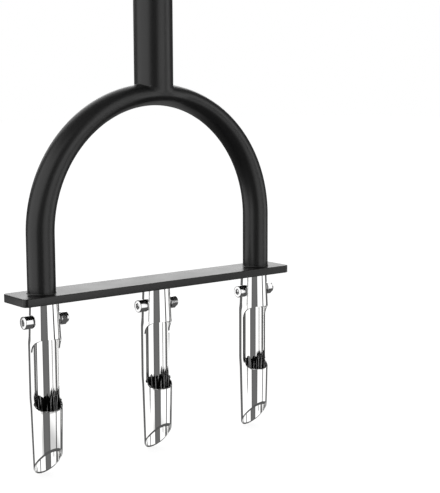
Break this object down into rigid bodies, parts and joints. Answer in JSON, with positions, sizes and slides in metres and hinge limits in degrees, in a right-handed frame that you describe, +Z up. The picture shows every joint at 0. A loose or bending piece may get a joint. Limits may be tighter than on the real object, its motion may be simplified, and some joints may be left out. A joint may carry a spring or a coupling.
{
  "type": "lawn coring aerator",
  "caption": "Step-on lawn coring tool: T-handle on a bolted tubular pole, bent-tube bow, foot plate and hollow windowed tines that lift soil plugs out of the turf.",
  "frame": {"origin": "on the ground under the middle tine, at the height of the tine tips and in the middle of the tool", "axes": "+Z up the pole to the handle, +X along the foot plate and handle towards the side of the nuts, -Y the side that the tine windows face"},
  "size_m": [0.2194, 0.0288, 0.901],
  "materials": {
    "powder_coat": "semi-gloss black powder coat on steel",
    "grip": "matte black",
    "polished_stainless": null,
    "bright_fastener": "bright plated steel"
  },
  "bodies": {
    "root": {"handle_crossbar": "powder_coat", "left_grip": "grip", "right_grip": "grip", "upper_pole": "powder_coat", "middle_pole": "powder_coat", "lower_pole": "powder_coat", "bow_tube": "powder_coat", "foot_plate": "powder_coat", "left_tine_spigot": "powder_coat", "middle_tine_spigot": "powder_coat", "right_tine_spigot": "powder_coat", "left_tine": "polished_stainless", "middle_tine": "polished_stainless", "right_tine": "polished_stainless", "left_tine_bolt": "bright_fastener", "middle_tine_bolt": "bright_fastener", "right_tine_bolt": "bright_fastener", "left_tine_nut": "bright_fastener", "middle_tine_nut": "bright_fastener", "right_tine_nut": "bright_fastener", "upper_joint_upper_bolt": "bright_fastener", "upper_joint_lower_bolt": "bright_fastener", "lower_joint_upper_bolt": "bright_fastener", "lower_joint_lower_bolt": "bright_fastener", "upper_joint_upper_nut": "bright_fastener", "upper_joint_lower_nut": "bright_fastener", "lower_joint_upper_nut": "bright_fastener", "lower_joint_lower_nut": "bright_fastener"}
  },
  "joints": []
}
